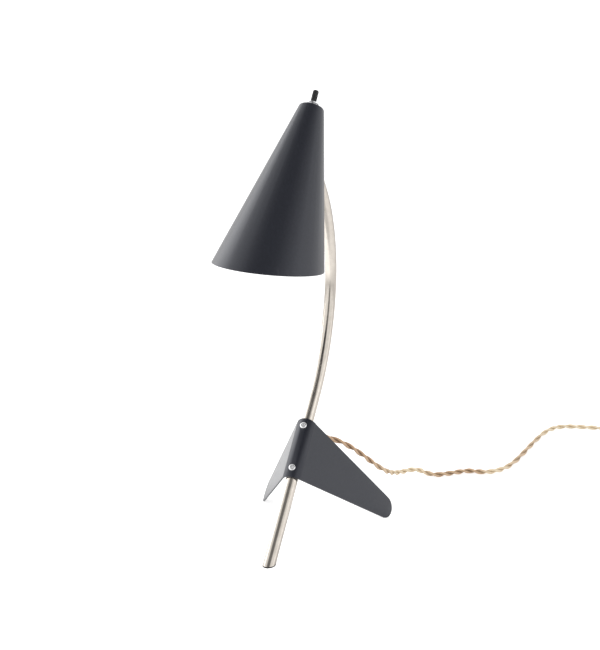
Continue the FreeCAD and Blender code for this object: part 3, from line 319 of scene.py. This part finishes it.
# Bulb: a small opal globe on a nickel-plated base, screwed into the holder's sleeve.
# The glass is milky all through and smooth outside.
OPAL_TONES = (0.84, 0.83, 0.80, 1), (0.88, 0.87, 0.84, 1)
OPAL_ROUGHNESS = 0.10, 0.16
OPAL_GRAIN = 90.0
dress(bright_nickel, "bulb_base")
opal = moulded("opal_glass", OPAL_TONES, OPAL_ROUGHNESS, OPAL_GRAIN)
dress(opal, "bulb_glass")

# Switch: a rotary switch under the shade's top, held by its bush with a washer, a nut and a ring.
# The knob is black and knurled, and turns on a brass spindle. Sleeved leads join switch and holder.
SWITCH_EASE = 0.00015
dress(black_plastic, "switch_body", "switch_knob")
dress(bright_nickel, "switch_bush")
for node, name in (("switch_washer", "dress_washer"), ("switch_nut", "dress_nut"),
                   ("switch_ring", "dress_ring")):
    eased(node, name, SWITCH_EASE, "head", bright_nickel)
dress(brass, "switch_spindle")
dress(sleeve, "switch_lead", "return_lead", "holder_lead")

# Cord: two braided strands twisted together, in copper-coloured thread, with painted light as a paler
# straw tone.
# It leaves the grommet, runs back along the table, and its spare length is tied in a coil.
CORD_ROUTE = (
    (0.0, 0.04073, 0.11592),
    (0.0, 0.05908, 0.09894),
    (0.0080, 0.09095, 0.0872),
    (0.0170, 0.12045, 0.0726),
    (0.0250, 0.15395, 0.0520),
    (0.0330, 0.18895, 0.0283),
    (0.0395, 0.21345, 0.0130),
    (0.0455, 0.23850, 0.0033),
    (0.0650, 0.26100, 0.0056),
    (0.0890, 0.24800, 0.0033),
    (0.1075, 0.26345, 0.0033),
    (0.1265, 0.28395, 0.0033),
    (0.1475, 0.28245, 0.0033),
    (0.1645, 0.30045, 0.0033),
    (0.1735, 0.33195, 0.0033),
    (0.1787, 0.38295, 0.0033),
    (0.1835, 0.43695, 0.0033),
    (0.1905, 0.49145, 0.0033),
    (0.2060, 0.52245, 0.0033),
    (0.2465, 0.52945, 0.0036),
    (0.2850, 0.53145, 0.0043),
    (0.3216, 0.53145, 0.0043),
    (0.3280, 0.53145, 0.0043),
)
CORD_DIAMETER = 0.0064
COIL_CENTRE = 0.328, 0.48745
COIL_RADIUS = 0.044
COIL_PITCH = 0.007
COIL_TURNS = 5.25
COIL_LIFT = 0.0043
COIL_STEPS = 16
COIL_TAIL = 0.030
CLIMB_TURNS = 0.5
LINE_STEPS = 16
STRAND_SIDES = 10
STRAND_RADIUS = CORD_DIAMETER / 4
LAY_ALONG = ((0.0, 0.056), (0.19, 0.056), (0.222, 0.022), (0.255, 0.022), (0.29, 0.028),
             (0.37, 0.028), (0.41, 0.068), (0.54, 0.068), (0.59, 0.030))
# The dark end of each tone pair also serves as painted shade on the strands' inner sides.
COPPER_TONES = (0.125, 0.043, 0.014, 1), (0.75, 0.51, 0.32, 1)
# Painted light: the straw tones are a lit copy of the cord's colour, blended in along its length where
# it catches more light.
LIT_STRAW_TONES = (0.69, 0.52, 0.32, 1), (0.97, 0.86, 0.66, 1)
PAINTED_LIGHT_ALONG = ((0.0, 0.0), (0.16, 0.1), (0.20, 0.45), (0.235, 0.85), (0.255, 1.0),
               (0.268, 0.9), (0.285, 0.2), (0.345, 0.15), (0.362, 0.95), (0.38, 0.9),
               (0.40, 0.55), (0.44, 0.32), (0.52, 0.5), (0.57, 1.0), (0.80, 0.9))
THREAD_TONES = 0.05, 0.95
THREAD_ROUGHNESS = 0.45, 0.55
THREAD_SHEEN = 900.0
THREAD_SPECULAR = 0.2
THREAD_RELIEF = 0.25
THREAD_DEPTH = 0.0002
THREADS_PER_METRE = 400.0
THREAD_SLANT = 3.0
INNER_SHADE_SHARE = 0.55
FULL_TURN = 2 * math.pi


def coil_points():
    points = []
    for step in range(1, round(COIL_TURNS * COIL_STEPS) + 1):
        turn = step / COIL_STEPS
        radius = COIL_RADIUS - COIL_PITCH * min(turn, COIL_TURNS - turn)
        angle = math.radians(90 - 360 * turn)
        climb = min(max((turn - COIL_TURNS / 2) / CLIMB_TURNS + 0.5, 0), 1)
        rise = COIL_PITCH * climb * climb * (3 - 2 * climb)
        points.append((COIL_CENTRE[0] + radius * math.cos(angle),
                       COIL_CENTRE[1] + radius * math.sin(angle), COIL_LIFT + rise))
    last = points[-1]
    points.append((last[0], last[1] - COIL_TAIL, last[2]))
    return points


def smooth_line(points):
    data = bpy.data.curves.new("cord_line", "CURVE")
    data.dimensions = "3D"
    spline = data.splines.new("NURBS")
    spline.points.add(len(points) - 1)
    for point, place in zip(spline.points, points):
        point.co = (*place, 1)
    spline.order_u = 3
    spline.use_endpoint_u = True
    data.resolution_u = LINE_STEPS
    line = bpy.data.objects.new("cord_line", data)
    bpy.context.scene.collection.objects.link(line)
    bpy.context.view_layer.update()
    mesh = bpy.data.meshes.new_from_object(line)
    path = [vertex.co.copy() for vertex in mesh.vertices]
    bpy.data.objects.remove(line)
    bpy.data.meshes.remove(mesh)
    return path


def lay_at(distance):
    for (start, low), (end, high) in zip(LAY_ALONG, LAY_ALONG[1:]):
        if distance < end:
            return low + (high - low) * (distance - start) / (end - start)
    return LAY_ALONG[-1][1]


def ways_along(path):
    ways = []
    for i in range(len(path)):
        ways.append((path[min(i + 1, len(path) - 1)] - path[max(i - 1, 0)]).normalized())
    return ways


def strand_lines(path):
    side = Vector((1, 0, 0))
    lines = [[], []]
    along = [0.0]
    twist = 0.0
    for i, way in enumerate(ways_along(path)):
        side = (side - way * side.dot(way)).normalized()
        other = way.cross(side)
        if i:
            step = (path[i] - path[i - 1]).length
            twist += FULL_TURN * step / lay_at(along[-1])
            along.append(along[-1] + step)
        for strand in (0, 1):
            angle = twist + math.pi * strand
            out = side * math.cos(angle) + other * math.sin(angle)
            lines[strand].append((path[i] + out * STRAND_RADIUS, out))
    return lines, along


def strand_rings(line):
    rings = []
    for (centre, out), way in zip(line, ways_along([centre for centre, out in line])):
        cross = way.cross(out).normalized()
        for k in range(STRAND_SIDES):
            angle = FULL_TURN * k / STRAND_SIDES
            rings.append(centre + (out * math.cos(angle) + cross * math.sin(angle)) * STRAND_RADIUS)
    return rings


def strand_skin(base, along):
    faces, around = [], []
    for i, (low, high) in enumerate(zip(along, along[1:])):
        for k in range(STRAND_SIDES):
            corner = base + i * STRAND_SIDES + k
            beside = base + i * STRAND_SIDES + (k + 1) % STRAND_SIDES
            faces.append((corner, beside, beside + STRAND_SIDES, corner + STRAND_SIDES))
            left, right = k / STRAND_SIDES, (k + 1) / STRAND_SIDES
            around.append(((low, left), (low, right), (high, right), (high, left)))
    end = base + (len(along) - 1) * STRAND_SIDES
    faces.append(tuple(reversed(range(base, base + STRAND_SIDES))))
    faces.append(tuple(range(end, end + STRAND_SIDES)))
    around.extend([((0, 0),) * STRAND_SIDES] * 2)
    return faces, around


def twisted_strands(name, path):
    lines, along = strand_lines(path)
    verts, faces, around = [], [], []
    for line in lines:
        skin, corners = strand_skin(len(verts), along)
        verts.extend(strand_rings(line))
        faces.extend(skin)
        around.extend(corners)
    mesh = bpy.data.meshes.new(name)
    mesh.from_pydata(verts, [], faces)
    layer = mesh.uv_layers.new(name="braid")
    for polygon, corners in zip(mesh.polygons, around):
        polygon.use_smooth = True
        for loop, corner in zip(polygon.loop_indices, corners):
            layer.data[loop].uv = corner
    strands = bpy.data.objects.new(name, mesh)
    bpy.context.scene.collection.objects.link(strands)
    return strands


def reckon(tree, operation, *values):
    step = tree.nodes.new("ShaderNodeMath")
    step.operation = operation
    for value, socket in zip(values, step.inputs):
        if isinstance(value, float):
            socket.default_value = value
        else:
            tree.links.new(value, socket)
    return step.outputs["Value"]


def wave_share(tree, wave):
    return reckon(tree, "MULTIPLY_ADD", wave, 0.5, 0.5)


def thread_waves(tree, along, around):
    threads = reckon(tree, "MULTIPLY", along, THREADS_PER_METRE)
    waves = []
    for slant in (THREAD_SLANT, -THREAD_SLANT):
        turns = reckon(tree, "MULTIPLY_ADD", around, slant, threads)
        waves.append(reckon(tree, "SINE", reckon(tree, "MULTIPLY", turns, FULL_TURN)))
    return waves


# Painted light: the share of the lit straw tone at each point along the cord.
def painted_light_share(tree, along):
    whole = PAINTED_LIGHT_ALONG[-1][0]
    share = tree.nodes.new("ShaderNodeValToRGB")
    tree.links.new(reckon(tree, "DIVIDE", along, whole), share.inputs["Fac"])
    stops = share.color_ramp.elements
    stops[0].color = (PAINTED_LIGHT_ALONG[0][1],) * 3 + (1,)
    stops[1].color = (PAINTED_LIGHT_ALONG[-1][1],) * 3 + (1,)
    for distance, lit_share in PAINTED_LIGHT_ALONG[1:-1]:
        stops.new(distance / whole).color = (lit_share,) * 3 + (1,)
    return share.outputs["Color"]


def braided(name):
    material, tree, shader = new_finish(name)
    place = tree.nodes.new("ShaderNodeUVMap")
    place.uv_map = "braid"
    split = tree.nodes.new("ShaderNodeSeparateXYZ")
    tree.links.new(place.outputs["UV"], split.inputs["Vector"])
    along, around = split.outputs["X"], split.outputs["Y"]
    waves = thread_waves(tree, along, around)
    # Painted shade: each strand is darker on its inner side, where it meets the other strand, and
    # lighter on its outer side.
    outer = reckon(tree, "COSINE", reckon(tree, "MULTIPLY", around, FULL_TURN))
    painted_shade_part = reckon(tree, "MULTIPLY", outer, INNER_SHADE_SHARE)
    thread_part = reckon(tree, "MULTIPLY", waves[0], 1 - INNER_SHADE_SHARE)
    threads_and_painted_shade = wave_share(tree, reckon(tree, "ADD", painted_shade_part, thread_part))
    blend = tree.nodes.new("ShaderNodeMix")
    blend.data_type = "RGBA"
    tree.links.new(painted_light_share(tree, along), blend.inputs["Factor"])
    tree.links.new(two_tone(tree, threads_and_painted_shade, COPPER_TONES, THREAD_TONES), blend.inputs["A"])
    tree.links.new(two_tone(tree, threads_and_painted_shade, LIT_STRAW_TONES, THREAD_TONES), blend.inputs["B"])
    tree.links.new(blend.outputs["Result"], shader.inputs["Base Color"])
    roughen(tree, shader, mottle(tree, THREAD_SHEEN), THREAD_ROUGHNESS)
    raise_grain(tree, shader, reckon(tree, "MAXIMUM", *waves), THREAD_RELIEF, THREAD_DEPTH)
    shader.inputs["Specular IOR Level"].default_value = THREAD_SPECULAR
    return material


cord_path = smooth_line(list(CORD_ROUTE) + coil_points())
cord = twisted_strands("twisted_cord", cord_path)
cord.data.materials.append(braided("copper_braid"))
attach(cord, "stand")
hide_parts("cord_run", "cord_coil")

# Plug and tie: a black moulded two-blade plug on the cord's end, and a woven strap round the coil.
# The strap is pulled flat over the turns, and its corners follow the cord.
PLUG_EASE = 0.0004
TIE_THICKNESS = 0.0008
TIE_CORNER = 0.0040
TIE_STEPS = 6
TIE_ROUGHNESS = 0.65, 0.80
TIE_RELIEF = 0.4
WEAVE_RADIANS_PER_METRE = 5000.0
END_FACING = 0.9


def woven(name):
    material, tree, shader = new_finish(name)
    place = tree.nodes.new("ShaderNodeTexCoord")
    split = tree.nodes.new("ShaderNodeSeparateXYZ")
    tree.links.new(place.outputs["Object"], split.inputs["Vector"])
    waves = []
    for axis in ("X", "Y"):
        angle = reckon(tree, "MULTIPLY", split.outputs[axis], WEAVE_RADIANS_PER_METRE)
        waves.append(reckon(tree, "SINE", angle))
    cloth = wave_share(tree, reckon(tree, "MULTIPLY", *waves))
    tint(tree, shader, cloth, BLACK_TONES)
    roughen(tree, shader, mottle(tree, THREAD_SHEEN), TIE_ROUGHNESS)
    raise_grain(tree, shader, cloth, TIE_RELIEF, THREAD_DEPTH)
    return material


plug = eased("plug_body", "moulded_plug", PLUG_EASE, "stand", black_plastic)
dress(brass, "plug_blades")
tie_low, tie_high = (Vector(corner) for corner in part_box("coil_tie"))
bpy.ops.object.select_all(action="DESELECT")
bpy.ops.mesh.primitive_cube_add(size=1, location=(tie_low + tie_high) / 2)
tie = bpy.context.object
tie.name = "woven_tie"
tie.scale = tie_high - tie_low
bpy.ops.object.transform_apply(location=True, rotation=False, scale=True)
bpy.ops.object.mode_set(mode="EDIT")
bpy.ops.mesh.select_mode(type="EDGE")
bpy.ops.mesh.select_all(action="DESELECT")
form = bmesh.from_edit_mesh(tie.data)
for edge in form.edges:
    run = edge.verts[1].co - edge.verts[0].co
    edge.select = abs(run.y) > abs(run.x) + abs(run.z)
bmesh.update_edit_mesh(tie.data)
bpy.ops.mesh.bevel(offset=TIE_CORNER, segments=TIE_STEPS)
bpy.ops.mesh.select_mode(type="FACE")
bpy.ops.mesh.select_all(action="DESELECT")
form = bmesh.from_edit_mesh(tie.data)
for face in form.faces:
    face.select = abs(face.normal.y) > END_FACING
bmesh.update_edit_mesh(tie.data)
bpy.ops.mesh.delete(type="FACE")
bpy.ops.object.mode_set(mode="OBJECT")
wall = tie.modifiers.new("strap_wall", "SOLIDIFY")
wall.thickness = TIE_THICKNESS
wall.offset = -1
bpy.ops.object.modifier_apply(modifier="strap_wall")
bpy.ops.object.shade_smooth_by_angle(angle=SMOOTH_BELOW)
tie.data.materials.append(woven("woven_tape"))
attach(tie, "stand")
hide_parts("coil_tie")

# Floor: a plain white table top without a visible edge, which keeps the lamp's shadow.
# The camera sees an added white. Polished pieces see a painted reflection, an added glow on the floor:
# none round the tube's lower end, brightest on the left, and fading far away.
WHITE = (1, 1, 1, 1)
FLOOR_SIZE = 12
FLOOR_WHITE = (0.86, 0.86, 0.86, 1)
FLOOR_ROUGHNESS = 0.9
FLOOR_SPECULAR = 0.1
FLOOR_GLOW = 0.55
LEFT_GLOW = 0.84
RIGHT_GLOW = 0.36
LEFT_TO_RIGHT = -0.20, 0.05
DIM_PATCH = 0.0, -0.12, 0.0
DIM_REACH = 0.10, 0.34
GLOW_REACH = 0.8, 2.6


def eased_ramp(tree, value, span, low, high):
    return ranged(tree, value, span, (low, high), "SMOOTHSTEP")


# Painted reflection: the floor's added glow as polished pieces see it.
def mirrored_glow(tree):
    place = tree.nodes.new("ShaderNodeTexCoord").outputs["Object"]
    reach = tree.nodes.new("ShaderNodeVectorMath")
    reach.operation = "DISTANCE"
    reach.inputs[1].default_value = DIM_PATCH
    tree.links.new(place, reach.inputs[0])
    split = tree.nodes.new("ShaderNodeSeparateXYZ")
    tree.links.new(place, split.inputs["Vector"])
    past = eased_ramp(tree, reach.outputs["Value"], DIM_REACH, 0.0, 1.0)
    near = eased_ramp(tree, reach.outputs["Value"], GLOW_REACH, 1.0, 0.0)
    glow = eased_ramp(tree, split.outputs["X"], LEFT_TO_RIGHT, LEFT_GLOW, RIGHT_GLOW)
    return reckon(tree, "MULTIPLY", reckon(tree, "MULTIPLY", past, near), glow)


def white_table(name):
    material, tree, shader = new_finish(name)
    shader.inputs["Base Color"].default_value = FLOOR_WHITE
    shader.inputs["Roughness"].default_value = FLOOR_ROUGHNESS
    shader.inputs["Specular IOR Level"].default_value = FLOOR_SPECULAR
    shader.inputs["Emission Color"].default_value = WHITE
    rays = tree.nodes.new("ShaderNodeLightPath")
    seen = reckon(tree, "MULTIPLY", rays.outputs["Is Camera Ray"], FLOOR_GLOW)
    mirrored = reckon(tree, "MULTIPLY", rays.outputs["Is Glossy Ray"], mirrored_glow(tree))
    tree.links.new(reckon(tree, "MAXIMUM", seen, mirrored), shader.inputs["Emission Strength"])
    return material


bpy.ops.object.select_all(action="DESELECT")
bpy.ops.mesh.primitive_plane_add(size=FLOOR_SIZE, location=(0, 0, 0))
floor = bpy.context.object
floor.name = "floor"
floor.data.materials.append(white_table("white_table"))

# Room: white all round, a little brighter at both sides and behind the lamp.
# A dim band reaches from the camera's side over the top. It gives the plated tube its dark streak
# and the paint its dark middle.
BAND_ACROSS = 0.94, 0.342, 0.0
BAND_FRONT = 0.342, -0.94, 0.0
ROOM_LIGHT = 1.12
BAND_LIGHT = 0.24
BAND_LEAN = 0.9
BAND_RISE = -0.60, -0.30
BAND_FALL = 0.75, 1.0
BAND_BACK = -0.35, -0.05
LEFT_LIGHT = 0.15
LEFT_SPAN = -0.85, -0.55
RIGHT_LIGHT = 0.40
RIGHT_SPAN = 0.92, 0.99
BACK_LIGHT = 0.20
BACK_SPAN = -0.95, -0.55


def facing(tree, direction, axis):
    dot = tree.nodes.new("ShaderNodeVectorMath")
    dot.operation = "DOT_PRODUCT"
    dot.inputs[1].default_value = axis
    tree.links.new(direction, dot.inputs[0])
    return dot.outputs["Value"]


def room_light(tree):
    direction = tree.nodes.new("ShaderNodeTexCoord").outputs["Generated"]
    across = facing(tree, direction, BAND_ACROSS)
    forward = facing(tree, direction, BAND_FRONT)
    leant = reckon(tree, "MULTIPLY_ADD", forward, BAND_LEAN, across)
    rise = eased_ramp(tree, across, BAND_RISE, 0.0, 1.0)
    fall = eased_ramp(tree, leant, BAND_FALL, 1.0, 0.0)
    front = eased_ramp(tree, forward, BAND_BACK, 0.0, 1.0)
    band = reckon(tree, "MULTIPLY", reckon(tree, "MULTIPLY", rise, fall), front)
    left = eased_ramp(tree, across, LEFT_SPAN, LEFT_LIGHT, 0.0)
    right = eased_ramp(tree, across, RIGHT_SPAN, 0.0, RIGHT_LIGHT)
    back = eased_ramp(tree, forward, BACK_SPAN, BACK_LIGHT, 0.0)
    sides = reckon(tree, "ADD", left, right)
    plain = reckon(tree, "ADD", reckon(tree, "ADD", sides, back), ROOM_LIGHT)
    return reckon(tree, "MULTIPLY_ADD", band, BAND_LIGHT - ROOM_LIGHT, plain)


room = bpy.data.worlds.new("studio")
bpy.context.scene.world = room
room.use_nodes = True
walls = room.node_tree
rays = walls.nodes.new("ShaderNodeLightPath")
seen = reckon(walls, "MAXIMUM", rays.outputs["Is Camera Ray"], rays.outputs["Is Transmission Ray"])
background = walls.nodes["Background"]
background.inputs["Color"].default_value = WHITE
walls.links.new(reckon(walls, "MAXIMUM", room_light(walls), seen), background.inputs["Strength"])

# Lights: one wide soft light on the left and a weaker one on the right, which model the round forms.
# A wide one in front lights the matt pieces, and polished pieces do not mirror it.
SOFT_LIGHTS = (
    ("left_soft", (-1.5, 0.3, 0.85), 1.2, 6.5, True),
    ("right_soft", (1.7, 0.5, 1.2), 1.0, 1.5, True),
    ("front_soft", (0.5, -1.7, 1.3), 1.5, 14.0, False),
)
LIGHT_AIM = 0, 0, 0.2
for name, place, size, watts, mirrored in SOFT_LIGHTS:
    data = bpy.data.lights.new(name, "AREA")
    data.size = size
    data.energy = watts
    light = bpy.data.objects.new(name, data)
    bpy.context.scene.collection.objects.link(light)
    light.location = place
    light.visible_glossy = mirrored
    light.rotation_euler = (Vector(LIGHT_AIM) - Vector(place)).to_track_quat("-Z", "Y").to_euler()

# Camera: at the photograph's place, a little above the shade and to the lamp's right.
# Its lens and its turn give the photograph's perspective and frame.
LENS = 66.46
SENSOR = 36.0
CAMERA_PLACE = 0.4126, -1.12856, 0.48403
CAMERA_DEGREES = 78.1865, -0.515, 20.0096
camera_data = bpy.data.cameras.new("camera")
camera_data.lens = LENS
camera_data.sensor_width = SENSOR
camera = bpy.data.objects.new("camera", camera_data)
bpy.context.scene.collection.objects.link(camera)
camera.location = CAMERA_PLACE
camera.rotation_euler = [math.radians(angle) for angle in CAMERA_DEGREES]
bpy.context.scene.camera = camera
bpy.context.scene.view_settings.view_transform = "Standard"
